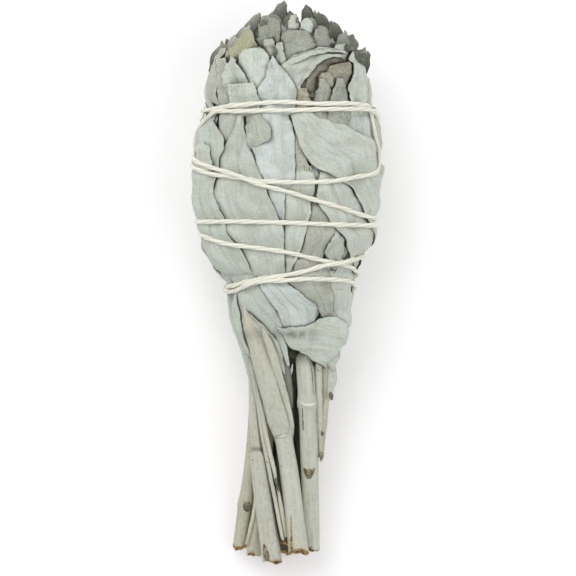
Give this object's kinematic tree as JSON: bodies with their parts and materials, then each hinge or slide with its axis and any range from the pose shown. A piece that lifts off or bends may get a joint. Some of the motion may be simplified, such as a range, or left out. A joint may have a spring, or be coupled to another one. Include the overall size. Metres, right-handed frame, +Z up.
{
  "type": "sage bunch",
  "caption": "Bound bunch of dried sage: overlapping leaves packed into a tapering head on cut woody stems, wound with cotton twine, lying on its side.",
  "frame": {"origin": "on the resting surface, under the middle of the bunch's box", "axes": "+Y along the bunch towards the leafy crown, +Z up from the surface the bunch lies on, +X across it"},
  "size_m": [0.0712, 0.2006, 0.0577],
  "materials": {
    "leaf": "dry velvety leaf, matte",
    "stem": "dry woody stem, matte",
    "twine": "twisted cotton twine, matte"
  },
  "bodies": {
    "root": {"leaf_head": "leaf", "twine": "twine", "stem_01": "stem", "stem_02": "stem", "stem_03": "stem", "stem_04": "stem", "stem_05": "stem", "stem_06": "stem", "stem_07": "stem", "stem_08": "stem", "stem_09": "stem", "stem_10": "stem"}
  },
  "joints": []
}
